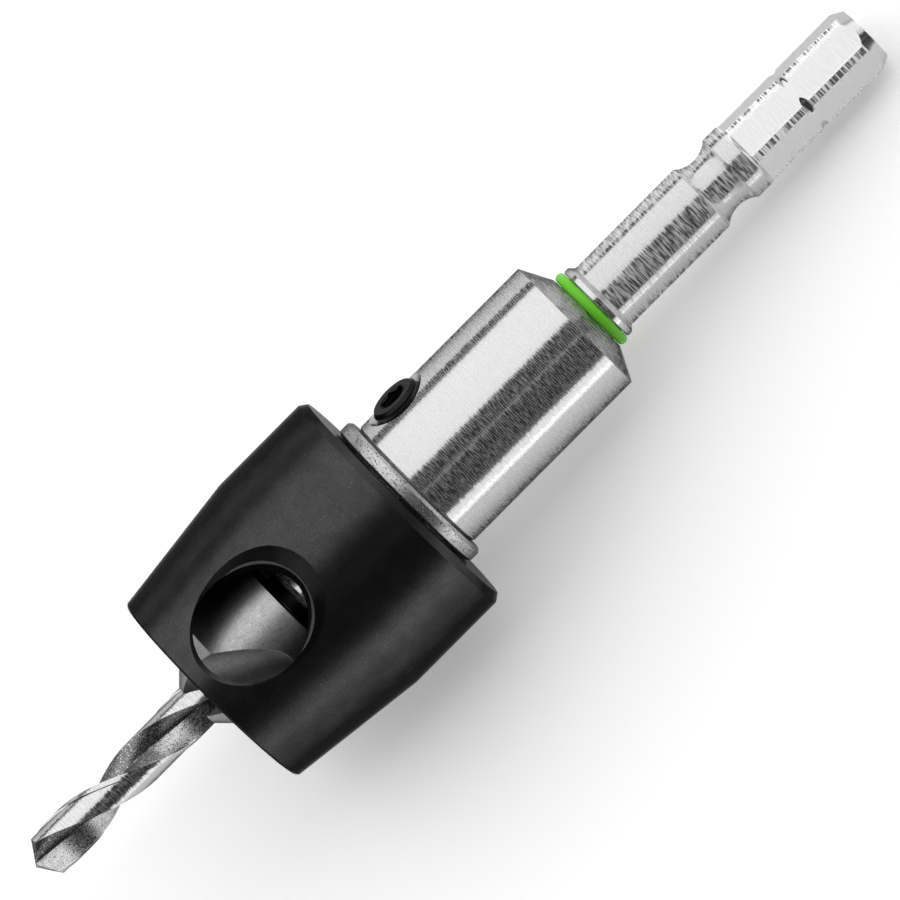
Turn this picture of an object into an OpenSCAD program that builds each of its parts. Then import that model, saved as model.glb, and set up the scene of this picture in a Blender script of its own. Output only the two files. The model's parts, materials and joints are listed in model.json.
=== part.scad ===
// Drill countersink with a ball bearing depth stop and a hex shank.
// Millimetres, +Z up. The tool lies at rest on the back rim of its collar and on the end of its hex shank.
// Inside lay() the tool's axis is Z, 0 is the holder's shoulder, the drill points to -Z and the hex to +Z.
// Inside lay() the local X axis is the upper side of the lying tool, square to a flat of the hex.

/* [Part] */
// Which sub-part to draw

/* [Twist drill] */
// Diameter of the drill
drill_d = 4.5; // [3:0.1:5]
// Overall length of the drill
drill_len = 62; // [58:0.5:66]
// Length of the drill that stands out in front of the cone of the cutter
drill_reach = 20.6; // [16:0.1:24]
// Length of the two flutes, run-out included
flute_len = 29; // [26:0.5:34]
// Length of one full turn of the flutes
flute_lead = 30.3; // [24:0.1:40]
// Half of the angle that a flute opens at the outside
flute_half_angle = 51.5; // [45:0.5:56]
// Thickness of the web between the flutes
web_t = 0.95; // [0.6:0.05:1.2]
// Angle of the drill point
point_angle = 118; // [110:1:135]
// Relief angle of the flanks behind the cutting lips
point_relief = 8; // [4:0.5:12]
// Width of the margin that guides the drill, along the circle
margin_w = 0.52; // [0.3:0.02:0.8]
// Depth of the land behind the margin
land_relief = 0.13; // [0.05:0.01:0.2]
// Chamfer at the back end of the drill
drill_chamfer = 0.4; // [0.2:0.1:0.8]
// Roll of the flutes at the drill point
drill_roll = -6.1; // [-180:0.1:180]

/* [Countersink cutter] */
// Distance from the shoulder of the holder to the small end of the cone
cutter_reach = 27.8; // [27.4:0.1:28.2]
// Diameter of the cutter head
cutter_d = 13.8; // [13:0.1:14.2]
// Angle of the cutting cone
cone_angle = 90; // [82:1:100]
// Length of the cutter head from the small end of the cone to the shoulder
cutter_head_len = 12.1; // [11.8:0.05:12.3]
// Width of the ring left at the small end of the cone
cone_lip = 0.03; // [0.02:0.01:0.1]
// Diameter of the cutter shank in the holder
cutter_shank_d = 7; // [6.6:0.1:7.4]
// Length of the cutter shank
cutter_shank_len = 27.4; // [25:0.1:29]
// Length of the flat under the set screw
screw_flat_len = 12; // [10:0.5:14]
// Depth of the flat under the set screw
screw_flat_depth = 0.75; // [0.4:0.05:0.8]
// Width of the saw cut that lets the shank close on the drill
slit_w = 0.8; // [0.5:0.1:1.2]
// Length of the saw cut
slit_len = 15; // [13:0.5:18]
// Radius of the grinding wheel that cuts the chip gullets
wheel_r = 6; // [5.5:0.1:7]
// Roll of the two gullets
gullet_roll = 13.7; // [-90:0.1:90]

/* [Depth collar] */
// Outer diameter of the collar
collar_d = 25; // [24:0.1:27]
// Diameter of the front rim
collar_front_d = 21.8; // [21.2:0.1:23]
// Length of the collar
collar_len = 24.3; // [23.5:0.1:26]
// Length of the tapered front part
taper_len = 13.5; // [12:0.1:15]
// Radius of the front edge
front_edge = 0.2; // [0.1:0.05:0.5]
// Chamfer of the back edge, along the axis
back_chamfer_len = 0.7; // [0.3:0.1:1]
// Chamfer of the back edge, across
back_chamfer_w = 0.5; // [0.2:0.1:1]
// Thickness of the lip that the bearing seats on
lip_t = 1.3; // [1:0.1:1.6]
// Clear opening through the lip
lip_d = 14.4; // [13.8:0.1:15.2]
// Diameter of the two chip ports
port_d = 10; // [9:0.1:10.6]
// Lean of the chip ports towards the shank
port_lean = 29; // [20:1:34]
// Distance of the port centre from the front rim, along the axis
port_pos = 8.25; // [7.6:0.05:8.8]
// Size of the countersink on the port edge, as a radius at the surface
port_edge_r = 6.85; // [6.5:0.05:7]
// Roll of the chip ports
port_roll = 4.6; // [-90:0.1:90]

/* [Ball bearing] */
// Bore of the bearing
bearing_bore = 10; // [9.6:0.1:10.4]
// Outer diameter of the bearing
bearing_od = 19; // [18.6:0.1:19.4]
// Width of the bearing
bearing_w = 5; // [4.6:0.1:5.4]
// Thickness of each race
race_wall = 1.3; // [1.1:0.05:1.4]
// Diameter of the balls
ball_d = 2.38; // [2.2:0.02:2.5]
// Thickness of the cage
cage_t = 0.9; // [0.6:0.1:1.1]
// Width of the cage
cage_w = 3.3; // [3.1:0.1:3.6]

/* [Spacer and retaining rings] */
// Diameter of the sintered spacer ring
spacer_d = 16.5; // [15.6:0.1:18]
// Thickness of the sintered spacer ring
spacer_t = 1.5; // [1.2:0.1:2]
// Chamfer of the spacer ring
spacer_chamfer = 0.3; // [0.1:0.05:0.5]
// Thickness of the shaft retaining ring
shaft_ring_t = 1; // [0.8:0.1:1.2]
// Depth of the groove for the shaft retaining ring
shaft_groove = 0.3; // [0.2:0.05:0.5]
// Wire thickness of the snap ring in the collar
snap_wire_d = 1.1; // [0.9:0.1:1.3]

/* [Holder] */
// Diameter of the body
body_d = 14.4; // [13.8:0.1:15.2]
// Length of the body
body_len = 20.3; // [19.4:0.1:22]
// Slope of the back end of the body, from the axis
end_cone_angle = 63; // [55:1:70]
// Radius where the back end of the body stops
end_cone_small_r = 4.2; // [4:0.05:4.4]
// Length of the nose that carries the bearing
nose_len = 14.5; // [14:0.1:15]
// Chamfer of the nose
nose_chamfer = 0.6; // [0.2:0.1:0.9]
// Depth of the bore for the cutter, from the nose
holder_bore_len = 33.2; // [32.6:0.1:34]
// Diameter of the flange behind the colour ring
flange_d = 8.1; // [7.8:0.1:8.4]
// Width of the flange
flange_w = 0.58; // [0.4:0.02:0.8]
// Diameter of the round shank
shank_d = 7.15; // [7.1:0.05:7.3]
// Length of the round shank from its fillet to the groove
shank_len = 12.4; // [11:0.1:14]
// Diameter of the locking groove
lock_groove_d = 5.7; // [5.4:0.05:6.2]
// Width of the rounded locking groove
lock_groove_w = 3.7; // [3:0.1:4.2]
// Length of the round shoulder in front of the hex
shoulder_len = 2; // [1.5:0.1:3]
// Size of the hex across its flats
hex_af = 6.35; // [6.3:0.01:6.4]
// Diameter over the turned corners of the hex
hex_corner_d = 6.97; // [6.9:0.01:7.1]
// Length of the hex
hex_len = 15.05; // [14:0.1:18]
// Length of the chamfer at the end of the hex
hex_chamfer_len = 1.2; // [0.8:0.1:1.4]
// Diameter of the end face of the hex
hex_end_d = 5.65; // [5.4:0.05:6]
// Radius of the rounded nick across the hex corners
nick_r = 0.45; // [0.3:0.05:0.6]
// Distance of the nick from the end of the hex
nick_pos = 8.35; // [8:0.05:9.5]
// Depth of the nick
nick_depth = 0.24; // [0.1:0.02:0.34]

/* [Colour ring] */
// Outer diameter of the colour ring
colour_ring_d = 8.64; // [8.4:0.02:8.8]
// Thickness of the colour ring
colour_ring_t = 1; // [0.9:0.02:1.04]

/* [Set screw] */
// Thread diameter of the set screw
screw_d = 5; // [4.4:0.1:5.2]
// Length of the set screw
screw_len = 4.8; // [4.6:0.05:5]
// Diameter of the flat point of the set screw
screw_point_d = 3.3; // [2.6:0.1:3.6]
// Size of the hex socket across its flats
socket_af = 2.5; // [2:0.1:2.6]
// Depth of the hex socket
socket_depth = 2.2; // [1.5:0.1:2.6]
// Distance of the set screw from the shoulder of the holder
screw_pos = 4.25; // [4:0.05:5]
// Roll of the set screw from the top
screw_roll = -56.3; // [-90:0.1:90]
// Width of the countersink around the screw hole, as a radius
screw_sink_r = 3.2; // [3:0.05:3.4]

/* [Clearances] */
// Radial running clearance of the drill in the cutter and of the cutter in the holder
slide_gap = 0.02; // [0.01:0.005:0.06]
// Radial clearance of seats that do not move
seat_gap = 0.01; // [0.005:0.005:0.02]
// Gap between the collar and the spacer ring, and around the hub of the spacer ring
face_gap = 0.1; // [0.05:0.01:0.2]
// Gap on each side of the colour ring
ring_gap = 0.04; // [0.02:0.01:0.08]
// Clearance of the balls in the races
race_gap = 0.03; // [0.02:0.005:0.05]
// Clearance of the balls in the cage
pocket_gap = 0.08; // [0.05:0.01:0.12]

/* [Hidden] */
$fn = 96;
ball_count = 10;
cut = 30;
past = 1;
edge_break = 0.3;
flange_chamfer = 0.12;

drill_r = drill_d / 2;
land_r = drill_r - land_relief;
cutter_r = cutter_d / 2;
cutter_shank_r = cutter_shank_d / 2;
collar_r = collar_d / 2;
collar_front_r = collar_front_d / 2;
body_r = body_d / 2;
journal_r = bearing_bore / 2 - seat_gap;
collar_bore_r = bearing_od / 2 + seat_gap;
shank_r = shank_d / 2;
flange_r = flange_d / 2;
hex_r = hex_af / 2;

// Places along the axis of the tool
collar_back_z = -spacer_t - face_gap;
collar_front_z = collar_back_z - collar_len;
bearing_back_z = collar_back_z - lip_t;
bearing_front_z = bearing_back_z - bearing_w;
bearing_mid_z = (bearing_back_z + bearing_front_z) / 2;
nose_z = -nose_len;
cutter_front_z = -cutter_reach;
cutter_shoulder_z = cutter_front_z + cutter_head_len;
cutter_back_z = cutter_shoulder_z + cutter_shank_len;
drill_tip_z = cutter_front_z - drill_reach;
end_cone_z = body_len + (body_r - end_cone_small_r) / tan(end_cone_angle);
colour_ring_z = end_cone_z + ring_gap + colour_ring_t / 2;
flange_z = colour_ring_z + colour_ring_t / 2 + ring_gap;
shank_z = flange_z + flange_w + flange_r - shank_r;
lock_z = shank_z + shank_len;
shoulder_z = lock_z + lock_groove_w;
hex_z = shoulder_z + shoulder_len;
flat_slope_len = shank_r - hex_r;
flat_start_z = hex_z - flat_slope_len;
end_z = hex_z + hex_len;
nick_z = end_z - nick_pos;

// Cone of the cutter
cone_small_r = drill_r + slide_gap + cone_lip;
cone_len = (cutter_r - cone_small_r) / tan(cone_angle / 2);

// Colour ring and its seat
colour_wire_r = colour_ring_t / 2;
colour_pitch_r = colour_ring_d / 2 - colour_wire_r;
colour_seat_r = colour_pitch_r - colour_wire_r - seat_gap;

// Chip ports
taper_angle = atan((collar_r - collar_front_r) / (taper_len - front_edge));
port_surface_r = collar_front_r + (port_pos - front_edge) * tan(taper_angle);
port_z = collar_front_z + port_pos;
port_sink = 2;

// Ball bearing
pitch_r = (bearing_bore + bearing_od) / 4;
ball_r = ball_d / 2;
race_groove_r = ball_r + race_gap;
inner_race_r = bearing_bore / 2 + race_wall;
outer_race_r = bearing_od / 2 - race_wall;
race_chamfer = 0.3;
spacer_hub_r = inner_race_r - face_gap;

// Snap ring of the collar and retaining ring of the nose
snap_wire_r = snap_wire_d / 2;
snap_z = bearing_front_z - snap_wire_r;
snap_groove_r = collar_bore_r + snap_wire_r;
snap_gap_angle = 24;
ring_band = 1;
shaft_groove_r = bearing_bore / 2 - shaft_groove;
shaft_ring_r = bearing_bore / 2 + ring_band;
ring_offset = 0.3;
shaft_ring_gap = 2;
lug_angle = 24;
lug_offset = 0.9;
lug_pitch_r = bearing_bore / 2 + lug_offset;
lug_r = 1.3;
lug_hole_r = 0.6;

// Set screw
screw_r = screw_d / 2;
screw_tip_r = cutter_shank_r - screw_flat_depth;
screw_point_r = screw_point_d / 2;
screw_chamfer = 0.3;
socket_mouth = 0.2;
slit_z = cutter_back_z - slit_len;

// Grinding wheel of the chip gullets: the direction of its axis, and its centre from the front of the cutter
// A larger wheel moves away from the cutter and leaves the middle of the gullet in place
wheel_polar = 36.87;
wheel_azimuth = 50.82;
wheel_contact = [3.946, 1.242, 5.134];
wheel_away = [0.819, 0.233, -0.524];
wheel_centre = wheel_contact + wheel_r * wheel_away;
face_azimuth = -54.4;

// Locking groove
lock_r = lock_groove_d / 2;
lock_depth = shank_r - lock_r;
lock_arc_r = (pow(lock_groove_w / 2, 2) + pow(lock_depth, 2)) / (2 * lock_depth);

// Rest on the back rim of the collar and on the end of a flat of the hex
rim_z = collar_back_z - back_chamfer_len;
hex_corner_r = hex_corner_d / 2;
hex_end_r = hex_end_d / 2;
hex_foot_z = end_z - hex_chamfer_len * (hex_r - hex_end_r) / (hex_corner_r - hex_end_r);
rest_tilt = atan((collar_r - hex_r) / (hex_foot_z - rim_z));
tip_to_rim = rim_z - drill_tip_z;
lift = tip_to_rim * sin(rest_tilt) + collar_r * cos(rest_tilt);
total_len = end_z - drill_tip_z;
reach_x = total_len * cos(rest_tilt) + hex_end_r * sin(rest_tilt);

BALLS = [for (i = [1 : ball_count]) str("bearing_ball_", i)];
NODES = concat(["holder", "set_screw", "colour_ring", "spacer_ring", "shaft_retaining_ring",
    "bearing_inner_race", "bearing_outer_race", "bearing_cage", "depth_collar", "collar_snap_ring",
    "countersink_cutter", "twist_drill"], BALLS);
echo(NODES = NODES);

module lay() {
  translate([-reach_x / 2, 0, lift])
    rotate([0, rest_tilt, 0])
      rotate([0, 90, 0])
        rotate([0, 0, 180])
          translate([0, 0, -drill_tip_z])
            children();
}

// Twist drill: a section turned along the helix, with the point ground on its first ring
flute_points = 13;
land_points = 4;
margin_step = 2;
overlap = 0.6;
valley = -15;
runout_len = 4;
ring_step = 0.8;
first_ring = 2;
rings = ceil((flute_len - first_ring) / ring_step);

function lip_r(a) = (web_t / 2) / sin(asin(web_t / 2 / drill_r) + flute_half_angle - a);
function heel_r(a) =
  lip_r(valley) + (land_r - lip_r(valley)) * pow((valley - a) / (flute_half_angle + valley), 1.6);
function flute_angle(i) = flute_half_angle * (2 * i / (flute_points - 1) - 1);
function flute_r(a) = a >= valley ? min(drill_r, lip_r(a)) : heel_r(a);
margin_angle = margin_w / drill_r * 180 / PI;
function land_angle(i) =
  flute_half_angle + margin_angle + margin_step
  + (180 - 2 * flute_half_angle - margin_angle - margin_step) * i / (land_points + 1);

// One half of the section as pairs of angle and radius
half_section = concat(
  [for (i = [0 : flute_points - 1]) [flute_angle(i), flute_r(flute_angle(i))]],
  [[flute_half_angle + margin_angle, drill_r]],
  [for (i = [0 : land_points]) [land_angle(i), land_r]]
);
section = concat(half_section, [for (p = half_section) [p[0] + 180, p[1]]]);

function behind_lip(a) = a > flute_half_angle ? a - flute_half_angle
  : a < valley ? a + 180 - flute_half_angle : 0;
function point_height(p) =
  p[1] / tan(point_angle / 2)
  + p[1] * behind_lip(p[0] >= 180 - flute_half_angle ? p[0] - 180 : p[0]) * PI / 180 * tan(point_relief);
function ring_height(k) = first_ring + (flute_len - first_ring) * (k - 1) / rings;
function runout(z) = max(0, min(1, (z - flute_len + runout_len) / runout_len));
function helix_point(a, r, z) =
  let (t = a + drill_roll + 360 * z / flute_lead) [r * cos(t), r * sin(t), z];
function ring_point(k, p) =
  k == 0 ? helix_point(p[0], p[1], point_height(p))
  : let (z = ring_height(k), s = runout(z)) helix_point(p[0], p[1] + (land_r - p[1]) * s * s, z);

drill_points = concat(
  [[0, 0, 0]],
  [for (k = [0 : rings + 1]) for (p = section) ring_point(k, p)]
);
function ring_index(k, i) = 1 + k * len(section) + i % len(section);
drill_faces = concat(
  [for (i = [0 : len(section) - 1]) [0, ring_index(0, i), ring_index(0, i + 1)]],
  [for (k = [0 : rings]) for (i = [0 : len(section) - 1])
    [ring_index(k, i), ring_index(k + 1, i), ring_index(k + 1, i + 1)]],
  [for (k = [0 : rings]) for (i = [0 : len(section) - 1])
    [ring_index(k, i), ring_index(k + 1, i + 1), ring_index(k, i + 1)]],
  [[for (i = [0 : len(section) - 1]) ring_index(rings + 1, len(section) - 1 - i)]]
);

module twist_drill() {
  color([0.72, 0.73, 0.75])
    lay()
      translate([0, 0, drill_tip_z]) {
        polyhedron(points = drill_points, faces = drill_faces, convexity = 8);
        translate([0, 0, flute_len - overlap])
          cylinder(r = drill_r, h = drill_len - flute_len + overlap - drill_chamfer);
        translate([0, 0, drill_len - drill_chamfer])
          cylinder(r1 = drill_r, r2 = drill_r - drill_chamfer, h = drill_chamfer);
      }
}

// Each gullet is what the wheel grinds away on the open side of the cutting face
module chip_gullet() {
  translate([0, 0, cutter_front_z])
    intersection() {
      translate(wheel_centre)
        rotate([0, wheel_polar, wheel_azimuth])
          cylinder(r = wheel_r, h = cut, center = true);
      rotate([0, 90, face_azimuth])
        translate([-cut / 2, -cut / 2, 0])
          cube(cut);
    }
}

module countersink_cutter() {
  color([0.7, 0.71, 0.73])
    lay()
      difference() {
        rotate_extrude()
          polygon([
            [0, cutter_front_z],
            [cone_small_r, cutter_front_z],
            [cutter_r, cutter_front_z + cone_len],
            [cutter_r, cutter_shoulder_z],
            [cutter_shank_r, cutter_shoulder_z],
            [cutter_shank_r, cutter_back_z - edge_break],
            [cutter_shank_r - edge_break, cutter_back_z],
            [0, cutter_back_z]
          ]);
        translate([0, 0, cutter_front_z - past])
          cylinder(r = drill_r + slide_gap, h = cutter_back_z - cutter_front_z + 2 * past);
        for (i = [0 : 1])
          rotate([0, 0, gullet_roll + 180 * i])
            chip_gullet();
        rotate([0, 0, screw_roll]) {
          translate([screw_tip_r - seat_gap, -cutter_shank_d, screw_pos - screw_flat_len / 2])
            cube([cutter_shank_d, 2 * cutter_shank_d, screw_flat_len]);
          translate([-slit_w / 2, -cutter_shank_d, slit_z])
            cube([slit_w, 2 * cutter_shank_d, slit_len + past]);
        }
      }
}

// Collar with its lip, snap ring groove and two leaning chip ports
module chip_port() {
  translate([port_surface_r, 0, port_z]) {
    rotate([0, 90 - port_lean, 0])
      translate([0, 0, -collar_bore_r])
        cylinder(d = port_d, h = 2 * collar_r);
    rotate([0, 90 + taper_angle, 0])
      translate([0, 0, -port_sink])
        cylinder(r1 = port_edge_r - port_sink, r2 = port_edge_r + port_sink, h = 2 * port_sink);
  }
}

module depth_collar() {
  color([0.12, 0.12, 0.13])
    lay()
      difference() {
        rotate_extrude()
          polygon([
            [collar_bore_r + edge_break, collar_front_z],
            [collar_front_r - front_edge, collar_front_z],
            [collar_front_r, collar_front_z + front_edge],
            [collar_r, collar_front_z + taper_len],
            [collar_r, rim_z],
            [collar_r - back_chamfer_w, collar_back_z],
            [lip_d / 2, collar_back_z],
            [lip_d / 2, bearing_back_z],
            [collar_bore_r, bearing_back_z],
            [collar_bore_r, snap_z + snap_wire_r],
            [snap_groove_r, snap_z + snap_wire_r],
            [snap_groove_r, snap_z - snap_wire_r],
            [collar_bore_r, snap_z - snap_wire_r],
            [collar_bore_r, collar_front_z + edge_break]
          ]);
        for (i = [0 : 1])
          rotate([0, 0, port_roll + 180 * i])
            chip_port();
      }
}

module collar_snap_ring() {
  color([0.45, 0.46, 0.48])
    lay()
      translate([0, 0, snap_z])
        rotate([0, 0, snap_gap_angle / 2 - 90])
          rotate_extrude(angle = 360 - snap_gap_angle)
            translate([snap_groove_r - snap_wire_r, 0])
              circle(r = snap_wire_r - seat_gap, $fn = 24);
}

// Ball bearing
module race(inner_r, outer_r) {
  translate([0, 0, bearing_front_z])
    difference() {
      rotate_extrude()
        polygon([
          [inner_r, race_chamfer],
          [inner_r + race_chamfer, 0],
          [outer_r - race_chamfer, 0],
          [outer_r, race_chamfer],
          [outer_r, bearing_w - race_chamfer],
          [outer_r - race_chamfer, bearing_w],
          [inner_r + race_chamfer, bearing_w],
          [inner_r, bearing_w - race_chamfer]
        ]);
      translate([0, 0, bearing_w / 2])
        rotate_extrude()
          translate([pitch_r, 0])
            circle(r = race_groove_r);
    }
}

module bearing_inner_race() {
  color([0.68, 0.69, 0.71])
    lay()
      race(bearing_bore / 2, inner_race_r);
}

module bearing_outer_race() {
  color([0.68, 0.69, 0.71])
    lay()
      race(outer_race_r, bearing_od / 2);
}

module ball(i) {
  rotate([0, 0, 360 * (i - 1) / ball_count])
    translate([pitch_r, 0, bearing_mid_z])
      children();
}

module bearing_ball(i) {
  color([0.8, 0.81, 0.83])
    lay()
      ball(i)
        sphere(r = ball_r, $fn = 48);
}

module bearing_cage() {
  color([0.3, 0.27, 0.22])
    lay()
      difference() {
        translate([0, 0, bearing_mid_z - cage_w / 2])
          difference() {
            cylinder(r = pitch_r + cage_t / 2, h = cage_w);
            translate([0, 0, -past])
              cylinder(r = pitch_r - cage_t / 2, h = cage_w + 2 * past);
          }
        for (i = [1 : ball_count])
          ball(i)
            rotate([0, 90, 0])
              cylinder(r = ball_r + pocket_gap, h = 2 * cage_t, center = true);
      }
}

// Sintered ring between the shoulder of the holder and the inner race
module spacer_ring() {
  color([0.55, 0.55, 0.56])
    lay()
      rotate_extrude()
        polygon([
          [journal_r + seat_gap, bearing_back_z],
          [spacer_hub_r, bearing_back_z],
          [spacer_hub_r, -spacer_t],
          [spacer_d / 2 - spacer_chamfer, -spacer_t],
          [spacer_d / 2, spacer_chamfer - spacer_t],
          [spacer_d / 2, -spacer_chamfer],
          [spacer_d / 2 - spacer_chamfer, 0],
          [journal_r + seat_gap, 0]
        ]);
}

// Retaining ring with two pierced lugs, in its groove on the nose
module shaft_retaining_ring() {
  color([0.3, 0.3, 0.32])
    lay()
      translate([0, 0, bearing_front_z - shaft_ring_t])
        linear_extrude(height = shaft_ring_t)
          difference() {
            union() {
              translate([-ring_offset, 0])
                circle(r = shaft_ring_r);
              for (side = [-1, 1])
                rotate([0, 0, side * lug_angle])
                  translate([lug_pitch_r, 0])
                    circle(r = lug_r);
            }
            circle(r = shaft_groove_r + seat_gap);
            translate([0, -shaft_ring_gap / 2])
              square([cut, shaft_ring_gap]);
            for (side = [-1, 1])
              rotate([0, 0, side * lug_angle])
                translate([lug_pitch_r, 0])
                  circle(r = lug_hole_r, $fn = 24);
          }
}

// Holder: nose, body, flange, round shank and hex, turned from one bar
module holder_turned() {
  rotate_extrude()
    polygon([
      [0, nose_z],
      [journal_r - nose_chamfer, nose_z],
      [journal_r, nose_z + nose_chamfer],
      [journal_r, bearing_front_z - shaft_ring_t - seat_gap],
      [shaft_groove_r, bearing_front_z - shaft_ring_t - seat_gap],
      [shaft_groove_r, bearing_front_z + seat_gap],
      [journal_r, bearing_front_z + seat_gap],
      [journal_r, 0],
      [body_r - edge_break, 0],
      [body_r, edge_break],
      [body_r, body_len],
      [end_cone_small_r, end_cone_z],
      [colour_seat_r, end_cone_z],
      [colour_seat_r, flange_z],
      [flange_r - flange_chamfer, flange_z],
      [flange_r, flange_z + flange_chamfer],
      [flange_r, flange_z + flange_w],
      [shank_r, shank_z],
      [shank_r, flat_start_z],
      [0, flat_start_z]
    ]);
}

module lock_groove() {
  translate([0, 0, (lock_z + shoulder_z) / 2])
    rotate_extrude()
      translate([lock_r + lock_arc_r, 0])
        circle(r = lock_arc_r);
}

// The flats start with slopes in the round shoulder
module hex_drive() {
  difference() {
    intersection() {
      rotate([0, 0, 30]) {
        translate([0, 0, hex_z])
          cylinder(r = hex_r / cos(30), h = hex_len, $fn = 6);
        translate([0, 0, flat_start_z])
          cylinder(r1 = shank_r / cos(30), r2 = hex_r / cos(30), h = flat_slope_len, $fn = 6);
      }
      rotate_extrude()
        polygon([
          [0, flat_start_z],
          [shank_r, flat_start_z],
          [hex_corner_r, hex_z],
          [hex_corner_r, end_z - hex_chamfer_len],
          [hex_end_r, end_z],
          [0, end_z]
        ]);
    }
    translate([0, 0, nick_z])
      rotate_extrude()
        translate([hex_corner_r - nick_depth + nick_r, 0])
          circle(r = nick_r, $fn = 48);
  }
}

module screw_place() {
  rotate([0, 0, screw_roll])
    translate([0, 0, screw_pos])
      rotate([0, 90, 0])
        children();
}

module holder() {
  color([0.7, 0.71, 0.73])
    lay()
      difference() {
        union() {
          difference() {
            holder_turned();
            lock_groove();
          }
          hex_drive();
        }
        translate([0, 0, nose_z - past])
          cylinder(r = cutter_shank_r + slide_gap, h = holder_bore_len + past);
        screw_place() {
          cylinder(r = screw_r, h = cut);
          translate([0, 0, body_r - screw_sink_r + screw_r])
            cylinder(r1 = screw_r, r2 = screw_r + cut, h = cut);
        }
      }
}

module set_screw() {
  color([0.13, 0.13, 0.14])
    lay()
      screw_place()
        translate([0, 0, screw_tip_r])
          difference() {
            rotate_extrude()
              polygon([
                [0, 0],
                [screw_point_r, 0],
                [screw_r - seat_gap, screw_r - screw_point_r],
                [screw_r - seat_gap, screw_len - screw_chamfer],
                [screw_r - screw_chamfer, screw_len],
                [0, screw_len]
              ]);
            translate([0, 0, screw_len - socket_depth])
              rotate([0, 0, 30])
                cylinder(r = socket_af / 2 / cos(30), h = socket_depth + past, $fn = 6);
            translate([0, 0, screw_len - socket_depth])
              mirror([0, 0, 1])
                cylinder(r1 = socket_af / 2, r2 = 0, h = socket_af / 4);
            translate([0, 0, screw_len - socket_mouth])
              cylinder(r1 = socket_af / 2, r2 = socket_af / 2 + 2 * socket_mouth, h = 2 * socket_mouth);
          }
}

module colour_ring() {
  color([0.33, 0.74, 0.18])
    lay()
      translate([0, 0, colour_ring_z])
        rotate_extrude()
          translate([colour_pitch_r, 0])
            circle(r = colour_wire_r);
}

holder();
set_screw();
colour_ring();
spacer_ring();
shaft_retaining_ring();
bearing_inner_race();
bearing_outer_race();
bearing_cage();
depth_collar();
collar_snap_ring();
countersink_cutter();
twist_drill();
for (i = [1 : ball_count])
  bearing_ball(i);
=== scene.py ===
"""Looks of a drill countersink with a ball bearing depth stop. Metres, +Z up, the tool lying at rest."""

import json
import math

import bpy
from mathutils import Matrix, Vector


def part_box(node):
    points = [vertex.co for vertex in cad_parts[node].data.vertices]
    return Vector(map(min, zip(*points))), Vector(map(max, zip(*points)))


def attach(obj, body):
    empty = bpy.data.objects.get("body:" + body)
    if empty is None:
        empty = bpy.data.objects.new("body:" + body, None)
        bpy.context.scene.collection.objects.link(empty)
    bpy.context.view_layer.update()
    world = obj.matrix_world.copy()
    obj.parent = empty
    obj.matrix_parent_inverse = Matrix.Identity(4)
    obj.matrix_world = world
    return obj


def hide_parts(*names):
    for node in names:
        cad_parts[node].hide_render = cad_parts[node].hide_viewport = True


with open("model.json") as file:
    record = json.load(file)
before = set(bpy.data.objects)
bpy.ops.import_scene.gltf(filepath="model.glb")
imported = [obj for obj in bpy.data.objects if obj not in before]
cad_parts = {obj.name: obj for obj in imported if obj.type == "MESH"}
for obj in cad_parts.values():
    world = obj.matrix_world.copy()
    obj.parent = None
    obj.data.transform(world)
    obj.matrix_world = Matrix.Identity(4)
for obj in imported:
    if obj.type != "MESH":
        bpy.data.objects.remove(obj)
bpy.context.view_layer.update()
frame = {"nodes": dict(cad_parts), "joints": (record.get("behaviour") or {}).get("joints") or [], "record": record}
nodes = frame["nodes"]

MM = 0.001

# The tool's own frame: its axis runs from the drill point to the hex, and all its joints lie on it
spin = next(joint for joint in frame["joints"] if joint["name"] == "collar_spin")
AXIS = Vector(spin["axis"]).normalized()
SIDE = Vector((0, 1, 0))
TOP = AXIS.cross(SIDE)
PIVOT = Vector(spin["pos_m"])
drill_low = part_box("twist_drill")[0]
DRILL_POINT = PIVOT + AXIS * ((drill_low.x - PIVOT.x) / AXIS.x)


def on_axis(along_mm):
    """A point on the axis, by its distance from the drill point."""
    return DRILL_POINT + AXIS * (along_mm * MM)


# Places along the axis from the drill point, radii of the cutter and the hex, and the set screw,
# in millimetres
CUTTER_FRONT = 20.6
CUTTER_SHOULDER = 32.7
CONE_FRONT_R = 2.3
CUTTER_R = 6.9
SHANK_START = 72
HEX_START = 90.1
HEX_CORNER_R = 3.485
SCREW_ALONG = 52.65
SCREW_OUT = 7.55
SCREW_ROLL = math.radians(56.3)
SCREW_AXIS = TOP * math.cos(SCREW_ROLL) + SIDE * math.sin(SCREW_ROLL)
SCREW_PLACE = on_axis(SCREW_ALONG) + SCREW_AXIS * (SCREW_OUT * MM)
THREAD_PITCH = 0.8
RING_PITCH = 0.21

# The drill's sizes, as in the CAD, in millimetres and degrees
DRILL_R = 2.25
LAND_R = 2.12
WEB = 0.95
FLUTE_HALF = 51.5
VALLEY = -15
DRILL_ROLL = -6.1
LEAD = 30.3
FLUTE_LEN = 29
RUNOUT_LEN = 4
FIRST_RING = 2
POINT_ANGLE = 118
POINT_RELIEF = 8
MARGIN = math.degrees(0.52 / DRILL_R)
MARGIN_STEP = 2
DRILL_LEN = 62
DRILL_CHAMFER = 0.4
HEEL_POWER = 1.6

# How finely the smooth drill is stepped
FLUTE_PARTS = 72
MARGIN_PARTS = 6
LAND_PARTS = 28
POINT_SHARES = (0.12, 0.3, 0.5, 0.7, 0.85, 1.0)
BLEND_PARTS = 4
FLUTE_RINGS = 108
SHARP_EDGE = math.radians(24)

# Camera, as far as the photograph tells: it looks down past the upper flat of the hex
CAMERA_LEAN = math.radians(13.7)
CAMERA_DISTANCE = 0.660
CAMERA_FOOT = 72
AIM_ALONG = 52.86
AIM_ABOVE = 0.057
TOOL_ROLL = math.radians(45.177)
IMAGE_SIZE = 900
PIXELS_PER_MM = 11.15
SENSOR = 36

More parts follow.
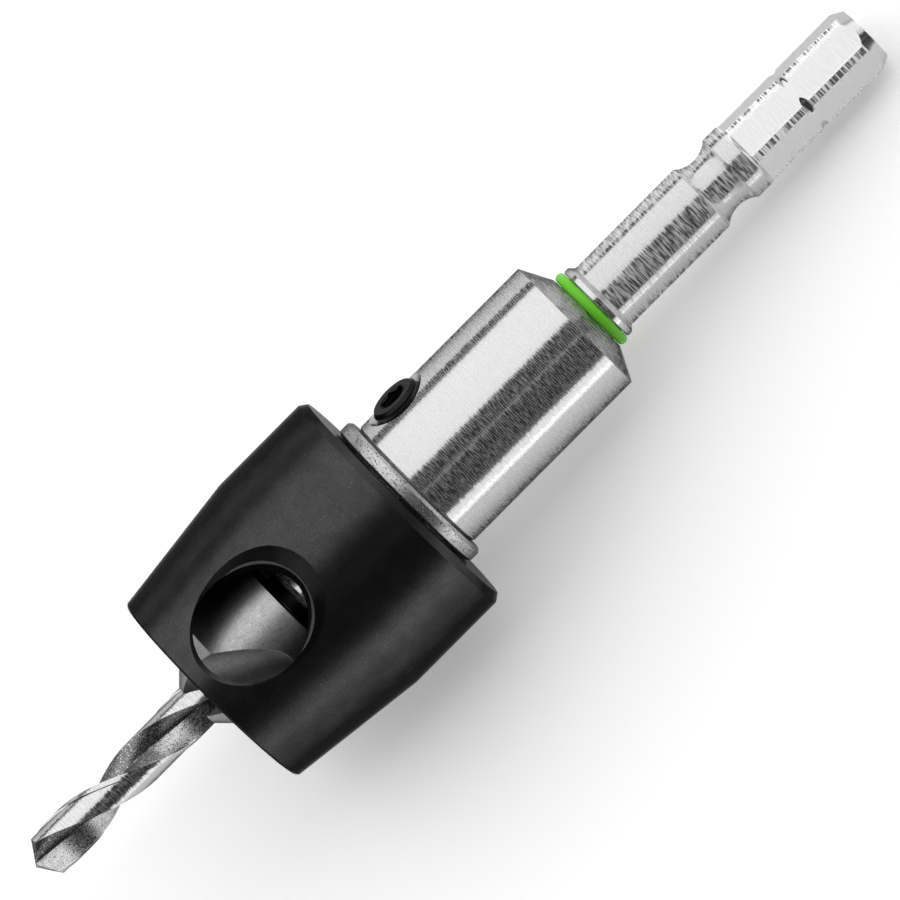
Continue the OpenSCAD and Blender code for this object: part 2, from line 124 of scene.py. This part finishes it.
# Studio, in metres: the large lamps stand away from the tool, the strip lies close to it
ROOM_DISTANCE = 1.5
ROOM_LENGTH = 7.2
STRIP_DISTANCE = 0.075
STRIP_LENGTH = 0.5
ROOM_GREY = 0.03
FLOOR_HALF = 3
FLOOR_GLOW = 0.30

# A noise stays mostly between these values
NOISE_LOW = 0.3
NOISE_HIGH = 0.7

# How bright bare metal is at a grazing angle
EDGE_SHADE = 0.05
EDGE_TINT = (EDGE_SHADE, EDGE_SHADE, EDGE_SHADE, 1)
HEX_EDGE_SHADE = 0.8

TO_CAMERA = TOP * math.cos(CAMERA_LEAN) - SIDE * math.sin(CAMERA_LEAN)
ACROSS = TO_CAMERA.cross(AXIS)


def place_camera():
    data = bpy.data.cameras.new("camera")
    camera = bpy.data.objects.new("camera", data)
    bpy.context.scene.collection.objects.link(camera)
    bpy.context.scene.camera = camera
    place = on_axis(CAMERA_FOOT) + TO_CAMERA * CAMERA_DISTANCE
    aim = on_axis(AIM_ALONG) + ACROSS * (AIM_ABOVE * MM)
    look = (aim - place).normalized()
    along = (AXIS - look * AXIS.dot(look)).normalized()
    above = along.cross(look)
    right = along * math.cos(TOOL_ROLL) - above * math.sin(TOOL_ROLL)
    up = along * math.sin(TOOL_ROLL) + above * math.cos(TOOL_ROLL)
    turn = Matrix((right, up, -look)).transposed()
    camera.matrix_world = Matrix.Translation(place) @ turn.to_4x4()
    data.sensor_width = SENSOR
    data.lens = PIXELS_PER_MM / MM * (aim - place).length / IMAGE_SIZE * SENSOR
    data.clip_start = 0.01
    data.clip_end = 20


class Shader:
    """One material, with short calls for its nodes."""

    def __init__(self, name):
        self.material = bpy.data.materials.new(name)
        self.material.use_nodes = True
        self.tree = self.material.node_tree
        self.bsdf = self.tree.nodes["Principled BSDF"]

    def put(self, socket, value):
        if isinstance(value, bpy.types.NodeSocket):
            self.tree.links.new(value, socket)
        else:
            socket.default_value = value

    def node(self, kind, out=0, settings=None, **inputs):
        node = self.tree.nodes.new("ShaderNode" + kind)
        for name, value in (settings or {}).items():
            setattr(node, name, value)
        for name, value in inputs.items():
            self.put(node.inputs[name.replace("_", " ")], value)
        return node.outputs[out]

    def math(self, operation, *values):
        node = self.tree.nodes.new("ShaderNodeMath")
        node.operation = operation
        for socket, value in zip(node.inputs, values):
            self.put(socket, value)
        return node.outputs[0]

    def vector(self, operation, *values):
        node = self.tree.nodes.new("ShaderNodeVectorMath")
        node.operation = operation
        for socket, value in zip(node.inputs, values):
            self.put(socket, value)
        return node.outputs["Value" if operation in ("DOT_PRODUCT", "LENGTH") else "Vector"]

    def combine(self, x, y, z):
        return self.node("CombineXYZ", X=x, Y=y, Z=z)

    def noise(self, vector, scale, detail=2.0, roughness=0.5):
        return self.node("TexNoise", Vector=vector, Scale=scale, Detail=detail, Roughness=roughness)

    def ramp(self, value, low, high, to_low=0.0, to_high=1.0):
        return self.node("MapRange", settings={"interpolation_type": "SMOOTHSTEP"}, Value=value,
                         **{"From_Min": low, "From_Max": high, "To_Min": to_low, "To_Max": to_high})

    def between(self, noise, low, high):
        """A value that goes from low to high over the spread of a noise."""
        return self.ramp(noise, NOISE_LOW, NOISE_HIGH, low, high)

    def grey(self, value):
        return self.combine(value, value, value)

    def tool_space(self):
        """Millimetres along the axis from the drill point, across it and up from it."""
        here = self.vector("SUBTRACT", self.node("TexCoord", out="Object"), DRILL_POINT)
        parts = [self.vector("DOT_PRODUCT", here, direction) for direction in (AXIS, SIDE, TOP)]
        return [self.math("MULTIPLY", part, 1 / MM) for part in parts]

    def tool_place(self):
        """The same three lengths as one vector."""
        return self.combine(*self.tool_space())

    def radius(self, parts):
        """The distance from the axis, in millimetres."""
        return self.vector("LENGTH", self.combine(0, parts[1], parts[2]))

    def grain_direction(self):
        """The direction in the surface that lies square to the turning marks."""
        place = self.vector("SUBTRACT", self.node("NewGeometry", out="Position"), PIVOT)
        round_the_tool = self.vector("CROSS_PRODUCT", AXIS, place)
        return self.vector("NORMALIZE", self.vector("CROSS_PRODUCT", round_the_tool,
                                                    self.node("NewGeometry", out="Normal")))

    def turned_normal(self, angle):
        """The surface's normal, turned round the tool's axis by an angle in radians."""
        normal = self.node("NewGeometry", out="Normal")
        step = self.vector("MULTIPLY", self.vector("CROSS_PRODUCT", normal, AXIS), self.grey(angle))
        return self.vector("NORMALIZE", self.vector("ADD", normal, step))

    def streaks(self, parts, along_scale, round_scale, detail=2.0):
        """Noise drawn out round the tool, as cutting marks are."""
        along, across, up = parts
        return self.noise(self.combine(self.math("MULTIPLY", along, along_scale),
                                       self.math("MULTIPLY", across, round_scale),
                                       self.math("MULTIPLY", up, round_scale)), 1, detail, 0.6)

    def mix(self, factor, low, high):
        return self.math("ADD", low, self.math("MULTIPLY", factor, self.math("SUBTRACT", high, low)))

    def bump(self, height, depth_mm, normal=None):
        node = self.tree.nodes.new("ShaderNodeBump")
        self.put(node.inputs["Height"], height)
        node.inputs["Strength"].default_value = 1
        node.inputs["Distance"].default_value = depth_mm * MM
        if normal is not None:
            self.put(node.inputs["Normal"], normal)
        return node.outputs[0]

    def finish(self, **inputs):
        for name, value in inputs.items():
            self.put(self.bsdf.inputs[name.replace("_", " ")], value)
        return self.material


def turned_steel():
    """Bright steel with fine turning rings, coarser marks on the shank and ticks on the hex corners."""
    s = Shader("turned_steel")
    parts = s.tool_space()
    along = parts[0]
    place = s.combine(*parts)
    radius = s.radius(parts)
    shank = s.ramp(along, SHANK_START - 0.1, SHANK_START + 0.1)
    hex_part = s.ramp(along, HEX_START - 0.1, HEX_START + 0.1)
    corner = s.math("MULTIPLY", hex_part, s.ramp(radius, HEX_CORNER_R - 0.10, HEX_CORNER_R - 0.07))
    marks = s.streaks(parts, 8, 1.3)
    coarse = s.streaks(parts, 7, 0.7)
    bars = s.streaks(parts, 6, 0.2)
    grain = s.noise(place, 7, 2, 0.5)
    drift = s.math("MULTIPLY", s.noise(place, 1.2), 9)
    rings = s.math("SINE", s.math("ADD", s.math("MULTIPLY", along, 2 * math.pi / RING_PITCH), drift))
    ridges = s.math("ADD", marks, s.math("MULTIPLY", rings, 0.09))
    # Worn ridges scatter light, which shows where the smooth steel mirrors the dark
    body_wear = s.ramp(ridges, 0.40, 0.62, 0.03, 0.36)
    shank_wear = s.ramp(coarse, 0.40, 0.60, 0.12, 0.78)
    face_wear = s.between(grain, 0.02, 0.08)
    corner_wear = s.ramp(bars, 0.45, 0.54, 0.22, 1.0)
    wear = s.mix(shank, body_wear, s.mix(corner, s.mix(hex_part, shank_wear, face_wear), corner_wear))
    tone = s.math("ADD", s.mix(shank, 0.48, s.mix(hex_part, 0.43, 0.51)),
                  s.math("MULTIPLY", wear, s.mix(corner, 0.28, 0.48)))
    tone = s.math("MULTIPLY", tone, s.between(coarse, 0.97, 1.03))
    lean = s.math("SUBTRACT", s.mix(shank, marks, coarse), 0.5)
    tilt = s.math("MULTIPLY", lean, s.mix(shank, 0.09, 0.12))
    normal = s.turned_normal(tilt)
    edge = s.grey(s.mix(hex_part, EDGE_SHADE, HEX_EDGE_SHADE))
    return s.finish(Base_Color=s.grey(tone), Metallic=s.math("SUBTRACT", 1, wear), Roughness=0.19,
                    Anisotropic=0.7, Specular_IOR_Level=0.3, Specular_Tint=edge,
                    Tangent=s.grain_direction(), Normal=s.bump(ridges, 0.004, normal))


def ground_steel():
    """Soft grey steel of a ground cutter, with painted shade that darkens its gullets and turns the shank behind
    its shoulder near black.
    """
    s = Shader("ground_steel")
    parts = s.tool_space()
    along = parts[0]
    place = s.combine(*parts)
    spots = s.noise(place, 6, 3, 0.6)
    clouds = s.noise(place, 1.3, 3, 0.6)
    specks = s.ramp(s.noise(place, 5, 2, 0.5), 0.60, 0.68)
    marks = s.streaks(parts, 6, 0.8)
    # How deep a place lies under the cone and the cylinder that the head was turned to
    cone = s.math("ADD", s.math("SUBTRACT", along, CUTTER_FRONT), CONE_FRONT_R)
    depth = s.math("SUBTRACT", s.math("MINIMUM", cone, CUTTER_R), s.radius(parts))
    painted_gullet_shade = s.ramp(depth, 0.03, 0.10)
    spotted_and_shaded = s.math("MULTIPLY", s.ramp(spots, 0.30, 0.44, 0.5, 1.0), s.between(clouds, 0.36, 0.42))
    spotted_and_shaded = s.math("ADD", spotted_and_shaded, s.math("MULTIPLY", specks, 0.12))
    # Painted shade: the gullets are darkened to 0.55 where they lie below the turned cone and cylinder.
    spotted_and_shaded = s.math("MULTIPLY", spotted_and_shaded, s.mix(painted_gullet_shade, 1.0, 0.55))
    # Painted shade: behind the shoulder, in the gap before the holder's nose, the colour drops to near black.
    tone = s.mix(s.ramp(along, CUTTER_SHOULDER - 0.05, CUTTER_SHOULDER + 0.1), spotted_and_shaded, 0.01)
    height = s.math("ADD", spots, s.math("MULTIPLY", marks, 0.4))
    return s.finish(Base_Color=s.grey(tone), Metallic=1.0, Roughness=0.40, Specular_Tint=EDGE_TINT,
                    Normal=s.bump(height, 0.012))


def drill_steel():
    """Polished lands with grinding marks, and flutes with small pits, dark towards the heel."""
    s = Shader("drill_steel")
    parts = s.tool_space()
    along, across, up = parts
    place = s.combine(*parts)
    land = s.ramp(s.radius(parts), LAND_R - 0.04, LAND_R - 0.01)
    # Angle in the turning cross section, 0 in the middle of either flute
    around = s.math("MULTIPLY", s.math("ARCTAN2", s.math("MULTIPLY", across, -1), up), 180 / math.pi)
    twist = s.math("MULTIPLY", along, 360 / LEAD)
    turned = s.math("SUBTRACT", s.math("SUBTRACT", around, DRILL_ROLL), twist)
    in_flute = s.math("SUBTRACT", s.math("FLOORED_MODULO", s.math("ADD", turned, 90), 180), 90)
    pits = s.noise(place, 5.5, 3, 0.65)
    sparks = s.ramp(s.noise(place, 6, 2, 0.5), 0.58, 0.66)
    stains = s.noise(place, 1.6, 3, 0.6)
    fine = s.noise(place, 12, 2, 0.5)
    marks = s.streaks(parts, 7, 1)
    heel = s.ramp(s.math("ADD", in_flute, s.math("MULTIPLY", stains, 16)), VALLEY + 14, VALLEY + 2)
    heel = s.math("MULTIPLY", heel, s.math("SUBTRACT", 1, land))
    bright = s.math("MULTIPLY", s.ramp(pits, 0.36, 0.44, 0.18, 1.0), s.between(stains, 0.40, 0.54))
    dull = s.math("ADD", s.between(fine, 0.08, 0.26), s.math("MULTIPLY", sparks, 0.35))
    flute_tone = s.mix(heel, bright, dull)
    land_tone = s.between(fine, 0.49, 0.54)
    tilt = s.math("MULTIPLY", s.math("SUBTRACT", marks, 0.5), s.math("MULTIPLY", land, 0.30))
    wear = s.mix(land, s.ramp(pits, 0.46, 0.60, 0.0, 0.35), s.ramp(marks, 0.42, 0.60, 0.0, 0.25))
    height = s.math("ADD", s.math("MULTIPLY", pits, s.mix(land, 1.0, 0.1)), s.math("MULTIPLY", fine, 0.2))
    return s.finish(Base_Color=s.grey(s.mix(land, flute_tone, land_tone)),
                    Metallic=s.math("SUBTRACT", 1, wear), Roughness=s.mix(land, 0.27, 0.19),
                    Specular_Tint=EDGE_TINT, Normal=s.bump(height, 0.03, s.turned_normal(tilt)))


def black_collar():
    """Satin black anodised aluminium with a faint pale speckle, and painted shade that darkens the port walls and
    the bore.
    """
    s = Shader("black_collar")
    place = s.tool_place()
    grain = s.noise(place, 7, 3, 0.6)
    speckle = s.ramp(s.noise(place, 5.5, 2, 0.6), 0.62, 0.74)
    clouds = s.noise(place, 0.5, 3, 0.6)
    tone = s.math("MULTIPLY", s.between(clouds, 0.038, 0.048), s.between(grain, 0.85, 1.15))
    tone = s.math("ADD", tone, s.math("MULTIPLY", speckle, 0.03))
    normal = s.node("NewGeometry", out="Normal")
    reach = s.vector("SUBTRACT", s.node("NewGeometry", out="Position"), PIVOT)
    round_the_tool = s.vector("CROSS_PRODUCT", reach, AXIS)
    outward = s.vector("NORMALIZE", s.vector("CROSS_PRODUCT", AXIS, round_the_tool))
    facing = s.vector("DOT_PRODUCT", normal, outward)
    ahead = s.math("ABSOLUTE", s.vector("DOT_PRODUCT", normal, AXIS))
    # Painted shade: the inward-facing walls of the ports and the bore are darkened to 0.4 of the tone.
    painted_wall_shade = s.math("MULTIPLY", s.ramp(facing, 0.62, 0.50), s.ramp(ahead, 0.95, 0.90))
    tone = s.math("MULTIPLY", tone, s.mix(painted_wall_shade, 1.0, 0.4))
    return s.finish(Base_Color=s.grey(tone), Metallic=0.9, Roughness=0.30, Specular_IOR_Level=0.1,
                    Specular_Tint=(0.2, 0.2, 0.2, 1), Normal=s.bump(grain, 0.006))


def sintered_steel():
    """Grey sintered metal, open pored."""
    s = Shader("sintered_steel")
    place = s.tool_place()
    pores = s.ramp(s.noise(place, 6, 2, 0.5), 0.34, 0.42)
    grain = s.noise(place, 9, 2, 0.5)
    tone = s.math("MULTIPLY", s.ramp(pores, 0, 1, 0.15, 1), s.between(grain, 0.42, 0.60))
    return s.finish(Base_Color=s.grey(tone), Metallic=1.0, Roughness=0.36, Specular_Tint=EDGE_TINT,
                    Normal=s.bump(s.math("ADD", pores, s.math("MULTIPLY", grain, 0.4)), 0.02))


def green_ring():
    """Smooth green elastomer."""
    s = Shader("green_ring")
    haze = s.noise(s.tool_place(), 1.5, 3, 0.6)
    colour = s.node("Mix", out=2, settings={"data_type": "RGBA"}, Factor=haze,
                    **{"A": (0.14, 0.56, 0.025, 1), "B": (0.17, 0.64, 0.033, 1)})
    return s.finish(Base_Color=colour, Roughness=0.42, Specular_IOR_Level=0.2)


def black_steel():
    """Black oxide on the set screw, with its thread as a bump and as dark and pale rings, the pale crests a
    painted highlight.
    """
    s = Shader("black_steel")
    place = s.tool_place()
    grain = s.noise(place, 6, 3, 0.6)
    here = s.vector("SUBTRACT", s.node("TexCoord", out="Object"), SCREW_PLACE)
    out = s.math("MULTIPLY", s.vector("DOT_PRODUCT", here, SCREW_AXIS), 1 / MM)
    facing = s.vector("DOT_PRODUCT", s.node("NewGeometry", out="Normal"), SCREW_AXIS)
    side = s.ramp(facing, 0.5, 0.2)
    turn = s.math("SINE", s.math("MULTIPLY", out, 2 * math.pi / THREAD_PITCH))
    # Painted highlight: the thread crests on the screw's side are made paler, along with the thread's bump.
    thread_and_crest_highlight = s.math("MULTIPLY", side, s.ramp(turn, -0.3, 0.9))
    tone = s.math("ADD", s.between(grain, 0.010, 0.018), s.math("MULTIPLY", thread_and_crest_highlight, 0.09))
    return s.finish(Base_Color=s.grey(tone), Metallic=1.0, Roughness=0.34, Specular_Tint=(0.6, 0.6, 0.6, 1),
                    Normal=s.bump(s.math("ADD", grain, s.math("MULTIPLY", thread_and_crest_highlight, 4)), 0.004))


def spring_steel():
    s = Shader("spring_steel")
    grain = s.noise(s.tool_place(), 5, 3, 0.6)
    return s.finish(Base_Color=s.grey(s.between(grain, 0.10, 0.18)), Metallic=1.0, Roughness=0.35,
                    Normal=s.bump(grain, 0.004))


def bearing_steel():
    s = Shader("bearing_steel")
    grain = s.noise(s.tool_place(), 4, 2, 0.5)
    return s.finish(Base_Color=s.grey(s.between(grain, 0.42, 0.50)), Metallic=1.0, Roughness=0.15)


def cage_plastic():
    s = Shader("cage_plastic")
    grain = s.noise(s.tool_place(), 6, 2, 0.5)
    colour = s.node("Mix", out=2, settings={"data_type": "RGBA"}, Factor=grain,
                    **{"A": (0.10, 0.08, 0.055, 1), "B": (0.15, 0.12, 0.085, 1)})
    return s.finish(Base_Color=colour, Roughness=0.5, Normal=s.bump(grain, 0.01))


SLOT_MATERIALS = {
    "turned_steel": turned_steel(),
    "ground_steel": ground_steel(),
    "black_collar": black_collar(),
    "sintered_steel": sintered_steel(),
    "green_ring": green_ring(),
    "black_steel": black_steel(),
    "spring_steel": spring_steel(),
    "bearing_steel": bearing_steel(),
    "cage_plastic": cage_plastic(),
}


def dress_nodes():
    """Each CAD node takes the material of its slot."""
    slots = {part["node"]: part["material_slot"] for part in frame["record"]["subparts"]}
    for name, node in nodes.items():
        node.data.materials.clear()
        node.data.materials.append(SLOT_MATERIALS[slots[name]])


def lip_radius(angle):
    lean = math.degrees(math.asin(WEB / 2 / DRILL_R)) + FLUTE_HALF - angle
    return WEB / 2 / math.sin(math.radians(lean))


def flute_radius(angle):
    """Half of the cross section: the lip side is straight, the heel side is hollow."""
    if angle >= VALLEY:
        return min(DRILL_R, lip_radius(angle))
    share = (VALLEY - angle) / (FLUTE_HALF + VALLEY)
    return lip_radius(VALLEY) + (LAND_R - lip_radius(VALLEY)) * share ** HEEL_POWER


def drill_outline():
    """Angles and radii once round the drill."""
    half = []
    for i in range(FLUTE_PARTS + 1):
        angle = -FLUTE_HALF + 2 * FLUTE_HALF * i / FLUTE_PARTS
        half.append((angle, flute_radius(angle)))
    for i in range(1, MARGIN_PARTS + 1):
        half.append((FLUTE_HALF + MARGIN * i / MARGIN_PARTS, DRILL_R))
    land_start = FLUTE_HALF + MARGIN + MARGIN_STEP
    land_end = 180 - FLUTE_HALF
    for i in range(LAND_PARTS):
        half.append((land_start + (land_end - land_start) * i / LAND_PARTS, LAND_R))
    return half + [(angle + 180, radius) for angle, radius in half]


def point_height(angle, radius):
    half_angle = angle - 180 if angle >= 180 - FLUTE_HALF else angle
    if half_angle > FLUTE_HALF:
        behind = half_angle - FLUTE_HALF
    elif half_angle < VALLEY:
        behind = half_angle + 180 - FLUTE_HALF
    else:
        behind = 0
    return (radius / math.tan(math.radians(POINT_ANGLE / 2))
            + radius * math.radians(behind) * math.tan(math.radians(POINT_RELIEF)))


def drill_place(angle, radius, height, share=1.0):
    """A place on the turning cross section, drawn in towards the drill point by a share."""
    turn = math.radians(angle + DRILL_ROLL + 360 * height / LEAD)
    offset = AXIS * height + TOP * (radius * math.cos(turn)) - SIDE * (radius * math.sin(turn))
    return DRILL_POINT + offset * (share * MM)


def drill_rings(outline):
    """Rings of places from the drill point to the end of the flutes, then along the rod."""
    rings = []
    for share in POINT_SHARES:
        rings.append([drill_place(angle, radius, point_height(angle, radius), share)
                      for angle, radius in outline])
    for i in range(1, BLEND_PARTS):
        blend = i / BLEND_PARTS
        rings.append([drill_place(angle, radius,
                                  point_height(angle, radius) * (1 - blend) + FIRST_RING * blend)
                      for angle, radius in outline])
    for i in range(FLUTE_RINGS + 1):
        height = FIRST_RING + (FLUTE_LEN - FIRST_RING) * i / FLUTE_RINGS
        out = max(0, min(1, (height - FLUTE_LEN + RUNOUT_LEN) / RUNOUT_LEN)) ** 2
        rings.append([drill_place(angle, radius + (LAND_R - radius) * out, height)
                      for angle, radius in outline])
    for radius, height in ((DRILL_R, FLUTE_LEN), (DRILL_R, DRILL_LEN - DRILL_CHAMFER),
                           (DRILL_R - DRILL_CHAMFER, DRILL_LEN)):
        turn_back = 360 * (FLUTE_LEN - height) / LEAD
        rings.append([drill_place(angle + turn_back, radius, height) for angle, _ in outline])
    return rings


def make_drill():
    """The CAD's drill again, with smooth flutes."""
    outline = drill_outline()
    count = len(outline)
    rings = drill_rings(outline)
    points = [DRILL_POINT] + [place for ring in rings for place in ring] + [on_axis(DRILL_LEN)]
    faces = []
    for i in range(count):
        j = (i + 1) % count
        faces.append((0, 1 + i, 1 + j))
        for k in range(len(rings) - 1):
            low = 1 + k * count
            high = low + count
            faces.append((low + i, high + i, high + j, low + j))
        last = 1 + (len(rings) - 1) * count
        faces.append((len(points) - 1, last + j, last + i))
    mesh = bpy.data.meshes.new("drill_smooth")
    mesh.from_pydata(points, [], faces)
    mesh.validate()
    mesh.polygons.foreach_set("use_smooth", [True] * len(mesh.polygons))
    mesh.set_sharp_from_angle(angle=SHARP_EDGE)
    drill = bpy.data.objects.new("drill_smooth", mesh)
    bpy.context.scene.collection.objects.link(drill)
    mesh.materials.append(drill_steel())
    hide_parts("twist_drill")
    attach(drill, "drill_body")


dress_nodes()
make_drill()

# Lamp angles run round the tool's axis, from the camera's side to the upper side of the photograph
STUDIO_CENTRE = on_axis(55)


def place_card(name, low_angle, high_angle, distance, length, radiance, spread=180):
    """A lamp that fills the angles from low to high as seen from the tool, and runs along it."""
    middle = math.radians((low_angle + high_angle) / 2)
    height = 2 * distance * math.tan(math.radians((high_angle - low_angle) / 2))
    out = TO_CAMERA * math.cos(middle) + ACROSS * math.sin(middle)
    data = bpy.data.lights.new(name, "AREA")
    data.shape = "RECTANGLE"
    data.size = length
    data.size_y = height
    data.energy = radiance * math.pi * length * height
    if spread < 180:
        half = math.radians(spread / 2)
        data.spread = 2 * half
        data.energy *= 1 - half / math.tan(half)
    lamp = bpy.data.objects.new(name, data)
    bpy.context.scene.collection.objects.link(lamp)
    turn = Matrix((AXIS, out.cross(AXIS), out)).transposed()
    lamp.matrix_world = Matrix.Translation(STUDIO_CENTRE + out * distance) @ turn.to_4x4()
    lamp.visible_camera = False


def make_floor():
    """A plain pale floor under the tool, a little brighter where it is looked at, to fade to white."""
    corners = [(x * FLOOR_HALF, y * FLOOR_HALF, 0) for x, y in ((-1, -1), (1, -1), (1, 1), (-1, 1))]
    mesh = bpy.data.meshes.new("floor")
    mesh.from_pydata(corners, [], [(0, 1, 2, 3)])
    floor = bpy.data.objects.new("floor", mesh)
    bpy.context.scene.collection.objects.link(floor)
    s = Shader("floor")
    rays = s.tree.nodes.new("ShaderNodeLightPath").outputs
    seen = s.math("MAXIMUM", s.math("MAXIMUM", rays["Is Camera Ray"], rays["Is Glossy Ray"]),
                  rays["Is Transmission Ray"])
    s.finish(Base_Color=(0.9, 0.9, 0.9, 1), Roughness=0.9, Specular_IOR_Level=0.0,
             Emission_Color=(1, 1, 1, 1), Emission_Strength=s.math("MULTIPLY", seen, FLOOR_GLOW))
    mesh.materials.append(s.material)


def light_studio():
    place_card("softbox", 12, 88, ROOM_DISTANCE, ROOM_LENGTH, 1.62)
    place_card("strip", -81, -61, STRIP_DISTANCE, STRIP_LENGTH, 1.7, spread=120)
    place_card("line", -16, -15, ROOM_DISTANCE, ROOM_LENGTH, 1.1)
    world = bpy.data.worlds.new("studio")
    bpy.context.scene.world = world
    world.use_nodes = True
    world.node_tree.nodes["Background"].inputs["Color"].default_value = (ROOM_GREY, ROOM_GREY, ROOM_GREY, 1)
    world.node_tree.nodes["Background"].inputs["Strength"].default_value = 1


make_floor()
light_studio()
place_camera()
bpy.context.scene.view_settings.view_transform = "Standard"
